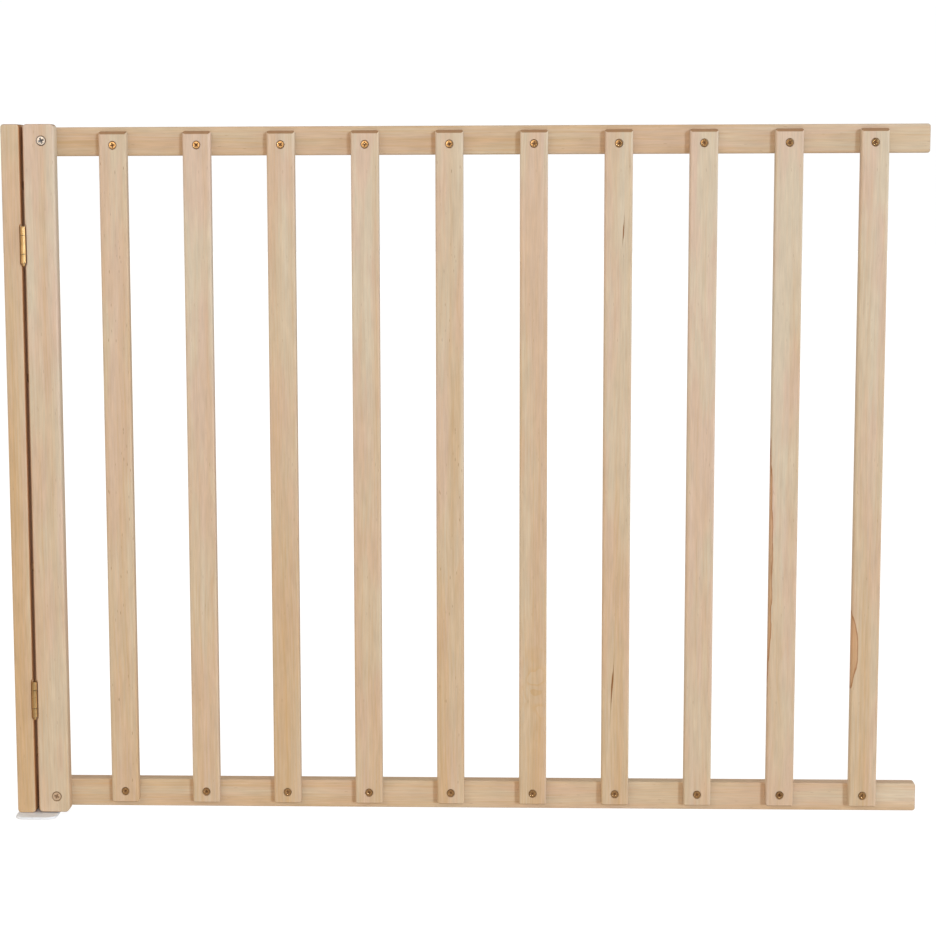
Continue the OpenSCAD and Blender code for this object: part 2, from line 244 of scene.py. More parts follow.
def slab(low, high, front, corner, back=BACK_ROUNDING, hold=(0, 0, 0, 0), lying=False, steps=6):
    """A board between two corners of a box, as loops of points from its front face round its edges to its
    back. Each loop is a rectangle drawn in by each side's inset, with its corners as quarter ellipses, and a
    corner point's depth runs from one side's to the next's as the squares of cosine and sine. The sides are
    right, top, left and bottom, and front holds each one's size of turn. A lying board's front is its top."""
    span = np.array([high[0] - low[0], high[1] - low[1] if lying else high[2] - low[2]])
    thick = high[2] - low[2] if lying else high[1] - low[1]
    insets, depths = [], []
    for size, held in zip(front, hold):
        inset, depth = turn(size, held)
        back_depth, back_inset = turn(back, 0, 5)
        last = back_inset[-1:] + SUPPORT
        insets.append(np.concatenate([inset[:1] + SUPPORT, inset, [0, 0], back_inset, last]))
        sides = [size + SUPPORT, thick - back - SUPPORT]
        depths.append(np.concatenate([depth[:1], depth, sides, thick - back_depth, [thick]]))
    angle = np.linspace(0, math.pi / 2, steps + 1)
    cosine = np.concatenate([[1], np.cos(angle), [0]])
    sine = np.concatenate([[0], np.sin(angle), [1]])
    before = np.zeros(steps + 3)
    before[0] = SUPPORT
    loops = []
    for side in range(4):
        near, far = SIDE_AXES[side], SIDE_AXES[(side + 1) % 4]
        reach = [abs(axis @ span) / 2 for axis in (near, far)]
        drawn = [insets[side][:, None], insets[(side + 1) % 4][:, None]]
        radius = [np.maximum(corner - inset, SUPPORT / 2) for inset in drawn]
        along = [extent - inset - arc for extent, inset, arc in zip(reach, drawn, radius)]
        out = along[0] + radius[0] * cosine - before[::-1]
        over = along[1] + radius[1] * sine - before
        deep = depths[side][:, None] * cosine**2 + depths[(side + 1) % 4][:, None] * sine**2
        flatwise = out[..., None] * near + over[..., None] * far
        loops.append(np.concatenate([flatwise, deep[..., None]], -1))
    loops = np.concatenate(loops, 1)
    centre = [(low[0] + high[0]) / 2, (low[1] + high[1]) / 2 if lying else (low[2] + high[2]) / 2]
    across, up, deep = loops[..., 0] + centre[0], loops[..., 1] + centre[1], loops[..., 2]
    rings = np.stack([across, up, high[2] - deep] if lying else [across, low[1] + deep, up], -1)
    flat = np.zeros((rings.shape[0] - 1, rings.shape[1]), bool)
    flat[len(turn(1, 0)[0]) + 1, steps + 2::steps + 3] = True
    return closed_solid(rings, flat)


def axes_of(direction):
    """Three unit vectors: the direction, and two that stand square to it."""
    along = np.array(direction, float)
    side = np.cross(along, [0, 1, 0] if abs(along[2]) > 0.9 else [0, 0, 1])
    return along, side, np.cross(along, side)


def revolved(place, direction, heights, radii, sides=48):
    """Rows of points round an axis, where each row has its height along the axis and its radius from it."""
    along, side, other = axes_of(direction)
    angle = np.arange(sides) / sides * math.tau
    circle = np.cos(angle)[:, None] * side + np.sin(angle)[:, None] * other
    heights, radii = np.array(heights, float), np.array(radii, float)
    return np.array(place) + heights[:, None, None] * along + radii[:, None, None] * circle


def bore(place, direction, head, shank, depth, sunk=HEAD_SUNK):
    """The room that a countersunk hole takes, with the edge of its mouth eased as a quarter circle. Its walls
    from the lower part of the mouth inward carry painted shade, which the cut passes on to what it cuts.
    """
    angle = np.radians([20, 40, 65, 90])
    heights = np.concatenate([[-OVER], MOUTH * (1 - np.cos(angle))])
    radii = np.concatenate([[head + 2 * MOUTH], head + MOUTH * (1 - np.sin(angle))])
    cone = sunk + HEAD_RIM
    heights = np.append(heights, [cone, cone + head - shank, depth])
    rings = revolved(place, direction, heights, np.append(radii, [head, shank, shank]))
    # Painted shade on the inner part of the mouth and the walls below it.
    painted_shade = np.zeros(rings.shape[:2])
    painted_shade[3:] = 1
    return closed_solid(rings, painted_shade=painted_shade)


def pilot(place, direction, radius, start, end):
    """The room that a straight hole takes between two depths."""
    return closed_solid(revolved(place, direction, [start, end], [radius, radius], 24))


def screw(place, direction, head, shank, length, spin, sunk=HEAD_SUNK):
    """A countersunk screw. Its crown is a low dome with an eased rim and a cross sunk into it: each arm's
    depth falls off with the square of the way to its tip, and its walls slope down within a third of its
    width. The cross and the rim carry painted shade. Sizes of the cross and the rim are shares of the head's
    radius, and those of the point are shares of the shank's."""
    reach = np.append(np.linspace(0.02, 0.93, 17), RIM_REACH) * head
    crown = sunk - CROWN_RISE * (1 - (reach / head) ** 2)
    crown[-3:] += RIM_EASE
    cone = HEAD_RIM + sunk
    tail = [cone, cone + head - shank, length - POINT_LENGTH * shank, length - POINT_SHORT]
    heights = np.concatenate([crown, tail])
    radii = np.concatenate([reach, [head, shank, shank, POINT_RADIUS * shank]])
    rings = revolved(place, direction, heights, radii, 72)
    angle = np.arange(72) / 72 * math.tau + math.radians(spin)
    x, y = reach[:, None] * np.cos(angle), reach[:, None] * np.sin(angle)
    arms = []
    for along, across in ((x, y), (y, x)):
        wall = np.clip((1 - np.abs(across) / (CROSS_HALF_WIDTH * head)) * 3, 0, 1)
        floor = np.clip(1 - (along / (CROSS_REACH * head)) ** 2, 0, 1)
        arms.append(wall * floor**0.5)
    cross = np.zeros(rings.shape[:2])
    cross[:len(reach)] = np.maximum(*arms)
    rings = rings + (cross * CROSS_DEPTH * head)[..., None] * np.array(direction)
    # Painted shade in the cross and round the rim.
    rim = np.zeros(rings.shape[:2])
    rim[len(reach) - 4:] = 1
    return closed_solid(rings, painted_shade=np.maximum(cross, rim))


def member(name, low, high, front, corner, cutters, **finish):
    """A wooden part in place of its CAD node, with its holes."""
    return carve(build(name + "_wood", [slab(low, high, front, corner, **finish)]), cutters)


# ---- Places that the frame gives ----

def middle(box):
    return (box[0] + box[1]) / 2


post_low, post_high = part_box("wall_post")
stile_low, stile_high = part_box("hinge_stile")
foot_low, foot_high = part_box("foot_plate")
gap_x = (post_high.x + stile_low.x) / 2
pin_y = post_low.y - PIN_PROUD
half_gap = stile_low.x - gap_x
hinge_z = [middle(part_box(f"{level}_hinge_wall_leaf")).z for level in ("upper", "lower")]
half_hinge = (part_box("upper_hinge_wall_leaf")[1].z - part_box("upper_hinge_wall_leaf")[0].z) / 2
leaf_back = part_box("upper_hinge_wall_leaf")[1].y
leaf_screw_y = (leaf_back + pin_y + BARREL) / 2
leaf_inner = half_gap - LEAF_THICKNESS
slat_box = {name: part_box(name) for name in SLATS}
slat_screw_box = {level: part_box(f"{level}_slat_screws") for level in ("top", "bottom")}
stile_screw_box = {level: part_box(f"{level}_stile_screw") for level in ("top", "bottom")}
foot_screw_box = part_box("foot_plate_screws")
foot_screw_head = (foot_screw_box[1].x - foot_screw_box[0].x) / 2
foot_screw_places = [
    (middle(foot_screw_box).x, y, foot_low.z)
    for y in (foot_screw_box[0].y + foot_screw_head, foot_screw_box[1].y - foot_screw_head)
]
wall_hole_z = np.linspace(post_low.z + WALL_HOLE_DISTANCE, post_high.z - WALL_HOLE_DISTANCE, 4)


def screw_sizes(box):
    """Head radius and length of a screw or a row of screws that run along Y, from their box."""
    return (box[1].z - box[0].z) / 2, box[1].y - box[0].y


def hinge_room(side):
    """What the hinges take out of the wood: a notch round each barrel, which tapers at its ends until it just
    misses the wood, and the leaf screws' holes. The side is -1 for the post, and 1 for the stile."""
    radius = BARREL + NOTCH_PLAY
    flank = half_hinge + NOTCH_PLAY
    tip = half_gap - NOTCH_SHORT
    solids = []
    for z in hinge_z:
        heights = [-flank - NOTCH_TAPER, -flank, flank, flank + NOTCH_TAPER]
        notch = revolved((gap_x, pin_y, z), (0, 0, 1), heights, [tip, radius, radius, tip])
        solids.append(closed_solid(notch))
        for step in (-0.5, 0.5):
            place = (gap_x + side * half_gap, leaf_screw_y, z + step * LEAF_SCREW_SPACING)
            solids.append(pilot(place, (side, 0, 0), LEAF_SCREW_SHANK, -OVER, LEAF_SCREW_LENGTH))
    return solids


# ---- Wood ----

def make_post():
    holes = hinge_room(-1)
    for z in wall_hole_z:
        place = (post_high.x, middle((post_low, post_high)).y, z)
        depth = post_high.x - post_low.x + OVER
        holes.append(bore(place, (-1, 0, 0), WALL_COUNTERSINK, WALL_HOLE, depth, sunk=0))
    start = post_low.z - foot_low.z - OVER
    for place in foot_screw_places:
        holes.append(pilot(place, (0, 0, 1), FOOT_SCREW_SHANK, start, FOOT_SCREW_HOLE))
    turns = (POST_ROUNDING, END_ROUNDING, POST_ROUNDING, END_ROUNDING)
    return member("wall_post", post_low, post_high, turns, POST_CORNER, holes)


def make_stile():
    holes = hinge_room(1)
    for box in stile_screw_box.values():
        centre = middle(box)
        place = (centre.x, stile_low.y, centre.z)
        depth = stile_high.y - stile_low.y + OVER
        shank = STILE_SCREW_SHANK + TOP_PLAY
        holes.append(bore(place, (0, 1, 0), screw_sizes(box)[0] + HEAD_PLAY, shank, depth))
    turns = (POST_ROUNDING, END_ROUNDING, POST_ROUNDING, END_ROUNDING)
    return member("hinge_stile", stile_low, stile_high, turns, STILE_CORNER, holes)


def make_rail(level):
    low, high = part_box(f"{level}_rail")
    slat_screws, stile_screw = slat_screw_box[level], stile_screw_box[level]
    holes = []
    for name in SLATS:
        place = (middle(slat_box[name]).x, low.y, middle(slat_screws).z)
        holes.append(pilot(place, (0, 1, 0), SLAT_SCREW_SHANK, -OVER, slat_screws[1].y - low.y + OVER))
    place = (middle(stile_screw).x, low.y, middle(stile_screw).z)
    holes.append(pilot(place, (0, 1, 0), STILE_SCREW_SHANK, -OVER, stile_screw[1].y - low.y + OVER))
    turns = (END_ROUNDING, RAIL_ROUNDING, END_ROUNDING, RAIL_ROUNDING)
    return member(f"{level}_rail", low, high, turns, RAIL_CORNER, holes, back=RAIL_ROUNDING)


def make_slat(name):
    low, high = slat_box[name]
    holes = []
    for level, play in (("top", TOP_PLAY), ("bottom", BOTTOM_PLAY)):
        box = slat_screw_box[level]
        place = (middle((low, high)).x, low.y, middle(box).z)
        depth = high.y - low.y + OVER
        holes.append(bore(place, (0, 1, 0), screw_sizes(box)[0] + HEAD_PLAY, SLAT_SCREW_SHANK + play, depth))
    turns = (SLAT_ROUNDING, SLAT_BEVEL, SLAT_ROUNDING, END_ROUNDING)
    return member(name, low, high, turns, SLAT_CORNER, holes, hold=(0, 0.6, 0, 0))


# ---- Foot plate, hinges and screws ----

def make_foot_plate():
    """A board that lies flat and has wide arcs at its front corners. It is made longer than the plate, with
    arcs at all four corners, and cut off square at the back."""
    holes = [
        bore(place, (0, 0, 1), foot_screw_head, FOOT_SCREW_SHANK, foot_high.z + OVER)
        for place in foot_screw_places
    ]
    board_high = Vector((foot_high.x, foot_high.y + 2 * FOOT_CORNER, foot_high.z))
    cut_low = Vector((foot_low.x - FOOT_CORNER, foot_high.y, foot_low.z - FOOT_CORNER))
    cut_high = Vector((foot_high.x + FOOT_CORNER, foot_high.y + 3 * FOOT_CORNER, foot_high.z + FOOT_CORNER))
    holes.append(slab(cut_low, cut_high, (SUPPORT,) * 4, SUPPORT, back=SUPPORT))
    turns = (FOOT_ROUNDING,) * 4
    board = slab(foot_low, board_high, turns, FOOT_CORNER, back=FOOT_UNDERSIDE, lying=True, steps=16)
    return carve(build("foot_plate_moulding", [board]), holes)


def leaf_outline(side):
    """The outline of a rolled leaf, seen from above: round the outside of the roll from the plate to the
    roll's free end, back round the inside, and along the plate."""
    outer, inner, plate = BARREL, PIN + PIN_PLAY, half_gap
    free = leaf_inner - SEAM
    outside = np.linspace(math.acos(plate / outer), math.acos(free / outer) - math.tau, 48)
    inside = np.linspace(math.acos(free / inner) - math.tau, math.acos(leaf_inner / inner), 40)
    arcs = ((outer, outside), (inner, inside))
    roll = [radius * np.stack([np.cos(way), np.sin(way)], -1) for radius, way in arcs]
    end = leaf_back - pin_y
    soft = LEAF_CORNER
    tongue = [(leaf_inner, end - soft), (leaf_inner + soft, end), (plate - soft, end), (plate, end - soft)]
    return np.concatenate(roll + [np.array(tongue)]) * [side, 1] + [gap_x, pin_y]


def make_leaf(level, z, side):
    """A leaf: its outline carried up the whole hinge, less the other leaf's knuckles and the screw holes."""
    outline = leaf_outline(side)
    heights = np.array([z - half_hinge, z + half_hinge])
    flat_rows = np.broadcast_to(outline, (2,) + outline.shape)
    rises = np.broadcast_to(heights[:, None, None], (2, len(outline), 1))
    rings = np.concatenate([flat_rows, rises], -1)
    half = MIDDLE_KNUCKLE / 2
    far = half_hinge + OVER
    gaps = [(-half - KNUCKLE_GAP, half + KNUCKLE_GAP)] if side < 0 else [(-far, -half), (half, far)]
    cutters = []
    for start, end in gaps:
        radius = BARREL + BARREL_PLAY
        cutters.append(closed_solid(revolved((gap_x, pin_y, z), (0, 0, 1), [start, end], [radius, radius])))
    for step in (-0.5, 0.5):
        place = (gap_x + side * leaf_inner, leaf_screw_y, z + step * LEAF_SCREW_SPACING)
        depth = LEAF_THICKNESS + OVER
        cutters.append(bore(place, (side, 0, 0), LEAF_SCREW_HEAD, LEAF_SCREW_SHANK, depth, sunk=0))
    owner = "wall" if side < 0 else "gate"
    leaf = carve(build(f"{level}_hinge_{owner}_leaf_brass", [closed_solid(rings)]), cutters)
    ease = leaf.modifiers.new("ease", "BEVEL")
    ease.width = LEAF_EASE
    ease.segments = 1
    ease.limit_method = "ANGLE"
    ease.angle_limit = math.radians(50)
    return settle(leaf)


def make_pin(level, z):
    """A rod with a domed head and a ball-shaped tip, with painted shade where only the gaps between knuckles
    show it.
    """
    angle = np.linspace(0.1, math.pi / 2, 8)
    dome = PIN * (1 - np.cos(angle))
    hidden = half_hinge - 2 * PIN
    heights = np.concatenate([dome - PIN_TIP - half_hinge, [-hidden, hidden], half_hinge - dome[::-1] / 2])
    radii = PIN * np.concatenate([np.sin(angle), [1, 1], np.sin(angle[::-1])])
    rings = revolved((gap_x, pin_y, z), (0, 0, 1), heights, radii)
    painted_shade = np.zeros(rings.shape[:2])
    painted_shade[len(dome):len(dome) + 2] = 1
    return settle(build(f"{level}_hinge_pin_brass", [closed_solid(rings, painted_shade=painted_shade)]))


def make_leaf_screws(side):
    owner = "wall" if side < 0 else "gate"
    spin = np.random.default_rng(3 + side)
    screws = [
        screw(
            (gap_x + side * leaf_inner, leaf_screw_y, z + step * LEAF_SCREW_SPACING), (side, 0, 0),
            LEAF_SCREW_HEAD, LEAF_SCREW_SHANK, LEAF_SCREW_LENGTH, spin.uniform(0, 90), sunk=LEAF_SCREW_SUNK
        )
        for z in hinge_z for step in (-0.5, 0.5)
    ]
    return settle(build(f"{owner}_leaf_screws_brass", screws))


def make_slat_screws(level):
    box = slat_screw_box[level]
    head, length = screw_sizes(box)
    spin = np.random.default_rng(11 if level == "top" else 12)
    front = slat_box[SLATS[0]][0].y
    screws = [
        screw(
            (middle(slat_box[name]).x, front, middle(box).z), (0, 1, 0),
            head, SLAT_SCREW_SHANK, length + HEAD_SUNK, spin.uniform(0, 90)
        )
        for name in SLATS
    ]
    return settle(build(f"{level}_slat_screws_brass", screws))


def make_stile_screw(level):
    box = stile_screw_box[level]
    head, length = screw_sizes(box)
    place = (middle(box).x, stile_low.y, middle(box).z)
    spin = 20 if level == "top" else 65
    body = screw(place, (0, 1, 0), head, STILE_SCREW_SHANK, length + HEAD_SUNK, spin)
    return settle(build(f"{level}_stile_screw_zinc", [body]))


def make_foot_screws():
    length = foot_screw_box[1].z - foot_screw_box[0].z + HEAD_SUNK
    screws = [
        screw(place, (0, 0, 1), foot_screw_head, FOOT_SCREW_SHANK, length, 30 * number)
        for number, place in enumerate(foot_screw_places)
    ]
    return settle(build("foot_plate_screws_zinc", screws))


# ---- Materials ----

def linear(red, green, blue):
    """A colour written as three numbers from 0 to 255, as light."""
    share = np.array([red, green, blue]) / 255
    return tuple(np.where(share < 0.04045, share / 12.92, ((share + 0.055) / 1.055) ** 2.4)) + (1.0,)


class Wire:
    """An output of a shader node. Arithmetic on wires adds Math nodes, and add() puts in any other node."""

    def __init__(self, tree, socket=None):
        self.tree = tree
        self.socket = socket

    def add(self, kind, settings=None, inputs=None, output=0):
        node = self.tree.nodes.new("ShaderNode" + kind)
        for name, value in (settings or {}).items():
            setattr(node, name, value)
        for name, value in (inputs or {}).items():
            if isinstance(value, Wire):
                self.tree.links.new(value.socket, node.inputs[name])
            else:
                node.inputs[name].default_value = value
        return Wire(self.tree, node.outputs[output])

    def math(self, operation, *values):
        return self.add("Math", {"operation": operation}, dict(enumerate(values)))

    def __add__(self, other):
        return self.math("ADD", self, other)

    def __sub__(self, other):
        return self.math("SUBTRACT", self, other)

    def __rsub__(self, other):
        return self.math("SUBTRACT", other, self)

    def __mul__(self, other):
        return self.math("MULTIPLY", self, other)

    def __truediv__(self, other):
        return self.math("DIVIDE", self, other)

    def __pow__(self, other):
        return self.math("POWER", self, other)

    __radd__ = __add__
    __rmul__ = __mul__

    def between(self, low, high):
        """0 below low, 1 above high, and a soft rise between them."""
        inputs = {"Value": self, "From Min": low, "From Max": high}
        return self.add("MapRange", {"interpolation_type": "SMOOTHSTEP"}, inputs)

    def noise(self, sizes, shift, detail=2.0):
        """Cloudy noise from 0 to 1 whose lumps have these sizes along X, Y and Z."""
        scale = tuple(1 / size for size in sizes)
        spot = self.add("VectorMath", {"operation": "MULTIPLY_ADD"}, {0: self, 1: scale, 2: (shift,) * 3})
        return self.add("TexNoise", {}, {"Vector": spot, "Scale": 1.0, "Detail": detail})

    def mix(self, first, second):
        """The first colour where this wire is 0, and the second where it is 1."""
        return self.add("Mix", {"data_type": "RGBA"}, {0: self, 6: first, 7: second}, output=2)


def new_material(name):
    """A material with one Principled shader. Returns it, a wire to start from, and the shader's sockets."""
    material = bpy.data.materials.new(name)
    material.use_nodes = True
    tree = material.node_tree
    return material, Wire(tree), tree.nodes["Principled BSDF"].inputs


def feed(shader, name, wire):
    wire.tree.links.new(wire.socket, shader[name])


def parts(place):
    """The three parts of a place: across the board, into it, and along the grain."""
    return [place.add("SeparateXYZ", {}, {0: place}, output=axis) for axis in range(3)]


def place_on_board(start, box, lying):
    """The place in millimetres from a board's middle, turned on a lying board so that Z is along the
    grain."""
    centre = np.array(middle(box)) / mm
    rotation = Matrix.Rotation(-math.pi / 2, 3, "Y") if lying else Matrix.Identity(3)
    inputs = {
        "Vector": start.add("TexCoord", output="Object"),
        "Location": tuple(-(rotation @ Vector(centre))),
        "Rotation": tuple(rotation.to_euler()),
        "Scale": (1 / mm,) * 3,
    }
    return start.add("Mapping", {}, inputs)


def late_wood(ring, first):
    """The dark share of a growth ring, whose way runs from 0 to 1: it rises slowly from the first dark part
    on and ends sharply."""
    return ring.between(first, 0.93) * (1 - ring.between(0.93, 1.0))


def growth_rings(place, pick, shift, curl):
    """The rings' dark share, and how far it deepens the colour. Rings are circles round a pith line that lies
    beside the board, leans a little and is bent by slow noise. A curl is (across, along) of the middle of a
    patch where the rings fade out into the contour lines of a noise, which close in loops."""
    across, into, along = parts(place)
    pith_side = pick.choice([-1, 1]) * pick.uniform(24, 70)
    pith_back = pick.choice([-1, 1]) * pick.uniform(12, 60)
    lean = pick.uniform(-0.012, 0.012)
    wide_bend = (place.noise((26, 26, 300), next(shift)) - 0.5) * 16
    bend = wide_bend + (place.noise((9, 9, 70), next(shift)) - 0.5) * 2.2
    side = across - pith_side + along * lean
    back = into - pith_back
    radius = (side * side + back * back) ** 0.5 + bend
    late = late_wood(place.math("FRACT", radius / pick.uniform(2.6, 4.2)), 0.25)
    deepened = late * 0.16
    if curl:
        reach = ((across - curl[0]) / 16) ** 2 + ((along - curl[1]) / 52) ** 2
        patch = place.math("EXPONENT", reach * -1)
        loop = place.math("FRACT", place.noise((15, 15, 24), next(shift), 0.5) * 3.4)
        deepened = deepened * (1 - patch) + late_wood(loop, 0.45) * patch * 0.34
    return late, deepened


def dark_flecks(place, flecked):
    """The share of short dark flecks: the middles of a few of many cells that are drawn out along the
    grain."""
    cell = place.add("VectorMath", {"operation": "MULTIPLY"}, {0: place, 1: (0.8, 0.8, 0.1)})
    cells = {"Vector": cell, "Scale": 1.0}
    near = place.add("TexVoronoi", {}, cells, output="Distance")
    which = place.add("SeparateColor", {}, {0: place.add("TexVoronoi", {}, cells, output="Color")})
    return (1 - near.between(0.12, 0.3)) * which.between(0.97 - 0.08 * flecked, 1 - 0.04 * flecked)


def mineral_line(place, thread, streak):
    """The share of a dark line that slants a little and narrows toward both ends. A streak is (across, along)
    of its middle, and half its length."""
    across, _, along = parts(place)
    middle_across, middle_along, half = streak
    beyond = along - middle_along
    off = place.math("ABSOLUTE", across - middle_across - beyond * 0.06 + (thread - 0.5) * 3)
    taper = 1 - place.math("ABSOLUTE", beyond).between(0.1 * half, half)
    return (1 - (off / (taper * 0.9 + 0.1)).between(0.3, 1.0)) * taper


def edge_stain(place, wobble, stain, edge):
    """The share of a patch that bulges in from the left edge as a parabola with a wobble, and the share of
    its rim. A stain is (along, half its length, width), and the edge is half the board's width."""
    across, _, along = parts(place)
    middle_along, half, width = stain
    bulge = 1 - ((along - middle_along) / half) ** 2
    within = bulge * width - across - edge + wobble
    patch = within.between(-0.3, 0.4)
    return patch, patch * (1 - within.between(0.3, 1.8))


def wood(
    name, box, seed, tan=0.5, flecked=0.4, curl=None, streaks=(), stain=None, hinge_side=0, bright=1.0
):
    """Planed maple: growth rings, and fibres, threads and slow changes of colour that are noise drawn out
    along the grain, with darker end grain that is deepened further as painted shade, and painted shade in the
    holes. tan runs from pale to deep, flecked is the strength of the dark flecks, and bright is a factor on
    the whole. hinge_side is 1 or -1 where the face toward +X or -X is the hinge's, whose front half carries
    painted shade for the gap between post and stile."""
    material, start, shader = new_material(name)
    shader["Specular IOR Level"].default_value = 0.3
    pick = np.random.default_rng(seed)
    lying = box[1].x - box[0].x > box[1].z - box[0].z
    place = place_on_board(start, box, lying)
    _, into, along = parts(place)
    shift = iter(pick.uniform(-90, 90, 12))

    late, deepened = growth_rings(place, pick, shift, curl)
    fibre = place.noise((0.5, 0.5, 22), next(shift), 3.0)
    thread = place.noise((1.8, 1.8, 48), next(shift), 4.0)
    mottle = place.noise((6, 6, 34), next(shift), 4.0)
    band = place.noise((11, 30, 420), next(shift))
    blush = place.noise((24, 24, 170), next(shift), 3.0)

    # Painted light: a standing board deepens steadily toward its lower end, in place of light that is cooler
    # above and warmer low down; a lying board deepens the same way toward its -X end.
    fade = 0.25 if lying else 0.55
    depth = tan * 0.55 - along * (fade / 1000) + (band - 0.5) * 1.1 + (thread - 0.5) * 0.6 + deepened
    depth = start.math("MAXIMUM", start.math("MINIMUM", depth, 1.0), 0.0)
    colour = blush.between(0.4, 0.6).mix(linear(*PALE_MAPLE), linear(*ROSY_MAPLE))
    colour = depth.mix(colour, linear(*HONEY_MAPLE))
    colour = (dark_flecks(place, flecked) * flecked).mix(colour, linear(*FLECK))
    for streak in streaks:
        colour = (mineral_line(place, thread, streak) * 0.95).mix(colour, linear(*MINERAL))
    if stain:
        wobble = (thread - 0.5) * 1.2 + (mottle - 0.5) * 5
        patch, rim = edge_stain(place, wobble, stain, (box[1].x - box[0].x) / (2 * mm))
        colour = (patch * 0.5).mix(colour, linear(*STAIN))
        colour = (rim * 0.7).mix(colour, linear(*STAIN_RIM))

    outward = {0: start.add("TexCoord", output="Normal")}
    facing = start.add("SeparateXYZ", {}, outward, output=0 if lying else 2)
    # End grain: faces turned toward the grain take a darker colour, deepened past the wood's own end grain as
    # painted shade.
    end_grain = start.math("ABSOLUTE", facing).between(0.45, 0.72)
    colour = (end_grain * 0.85).mix(colour, linear(*END_GRAIN_AND_SHADE))
    # Painted shade: the front half of the face toward the hinge is darkened as the gap between post and stile
    # would shade it.
    if hinge_side:
        sideways = start.add("SeparateXYZ", {}, outward, output=0) * hinge_side
        gap_shade = sideways.between(0.5, 0.95) * (1 - into.between(-4, 4))
        colour = (gap_shade * 0.75).mix(colour, linear(*GAP_SHADE))
    # Painted shade on the walls of the screw holes, from the attribute that the hole cutters leave.
    hole = start.add("Attribute", {"attribute_name": "painted_shade"}, output="Fac")
    colour = (hole * 0.85).mix(colour, linear(*HOLE_SHADE))
    light = bright + (fibre - 0.5) * 0.34 + (mottle - 0.5) * 0.28
    feed(shader, "Base Color", colour.add("VectorMath", {"operation": "SCALE"}, {0: colour, "Scale": light}))
    feed(shader, "Roughness", 0.5 + (fibre - 0.5) * 0.25 + end_grain * 0.2)
    height = fibre * 0.6 + thread * 0.3 + late * 0.25
    bump = {"Strength": 0.35, "Distance": 0.06 * mm, "Height": height}
    feed(shader, "Normal", start.add("Bump", {}, bump))
    return material


def metal(name, colour, dark, roughness, seed):
    """Plated metal: faint cloudy tarnish, fine drawn scratches, and painted shade in the recesses, where it
    is also rougher and less metallic.
    """
    material, start, shader = new_material(name)
    shader["Specular IOR Level"].default_value = 0.2
    shift = iter(np.random.default_rng(seed).uniform(-50, 50, 6))
    scale = {"Vector": start.add("TexCoord", output="Object"), "Scale": (1 / mm,) * 3}
    place = start.add("Mapping", {}, scale)
    cloud = place.noise((9, 9, 9), next(shift), 4.0)
    grain = place.noise((0.15, 0.15, 1.6), next(shift), 3.0)
    painted_shade = start.add("Attribute", {"attribute_name": "painted_shade"}, output="Fac")
    # The dark colour comes in lightly as cloudy tarnish, and almost fully as painted shade in the recesses.
    stain = start.math("MINIMUM", cloud.between(0.4, 0.8) * 0.3 + painted_shade * 0.9, 1.0)
    feed(shader, "Base Color", stain.mix(linear(*colour), linear(*dark)))
    feed(shader, "Roughness", roughness + (cloud - 0.5) * 0.12 + (grain - 0.5) * 0.1 + painted_shade * 0.3)
    feed(shader, "Metallic", 1 - painted_shade * 0.85)
    bump = {"Strength": 0.25, "Distance": 0.02 * mm, "Height": grain}
    feed(shader, "Normal", start.add("Bump", {}, bump))
    return material


def moulded_plastic(name):
    """White moulded plastic with a fine pebbled skin and faint grey handling marks."""
    material, start, shader = new_material(name)
    scale = {"Vector": start.add("TexCoord", output="Object"), "Scale": (1 / mm,) * 3}
    place = start.add("Mapping", {}, scale)
    pebble = place.noise((0.6, 0.6, 0.6), 3.0, 2.0)
    mark = place.noise((9, 16, 9), 21.0, 4.0)
    colour = mark.between(0.5, 0.85).mix(linear(*WHITE_PLASTIC), linear(*HANDLED_PLASTIC))
    feed(shader, "Base Color", colour)
    feed(shader, "Roughness", 0.38 + mark * 0.15)
    feed(shader, "Normal", start.add("Bump", {}, {"Strength": 0.2, "Distance": 0.05 * mm, "Height": pebble}))
    return material


# ---- Assembly ----

def fit(piece, node, material):
    """Puts a finished piece in place of its CAD node, on the node's own body."""
    piece.data.materials.clear()
    piece.data.materials.append(material)
    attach(piece, frame["nodes"][node]["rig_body"])
    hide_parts(node)


RAIL_BRIGHT = {"top": 1, "bottom": 1.06}
SLAT_TAN = dict(zip(SLATS, [0.75, 0.35, 0.7, 0.5, 0.65, 0.65, 0.6, 0.2, 0.25, 0.5]))
SLAT_FLECKED = {"slat_01": 0.9, "slat_05": 0.8}
SLAT_CURL = {"slat_06": (1, -252)}
SLAT_STREAKS = {"slat_07": [(-4, -256, 58), (6, 283, 28)]}
SLAT_STAIN = {"slat_09": (-110, 140, 4), "slat_10": (-208, 46, 7.5)}

post_maple = wood("post maple", (post_low, post_high), 2, 1.1, hinge_side=1)
stile_maple = wood("stile maple", (stile_low, stile_high), 3, 0.4, hinge_side=-1)
fit(make_post(), "wall_post", post_maple)
fit(make_stile(), "hinge_stile", stile_maple)
for number, level in enumerate(("top", "bottom")):
    bright = RAIL_BRIGHT[level]
    rail_maple = wood(f"{level} rail maple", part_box(f"{level}_rail"), 4 + number, 0.8, bright=bright)
    fit(make_rail(level), f"{level}_rail", rail_maple)
for number, name in enumerate(SLATS):
    slat_maple = wood(
        name.replace("_", " ") + " maple", slat_box[name], 20 + number,
        SLAT_TAN[name], SLAT_FLECKED.get(name, 0.4), SLAT_CURL.get(name), SLAT_STREAKS.get(name, ()),
        SLAT_STAIN.get(name)
    )
    fit(make_slat(name), name, slat_maple)

# Each metal's second colour serves both its cloudy tarnish and the painted shade in its recesses.
brass = metal("hinge brass", (236, 200, 142), (84, 54, 22), 0.3, 5)
screw_brass = metal("screw brass", (246, 206, 152), (94, 52, 16), 0.18, 6)
zinc = metal("bright zinc", (234, 235, 238), (92, 86, 82), 0.22, 7)
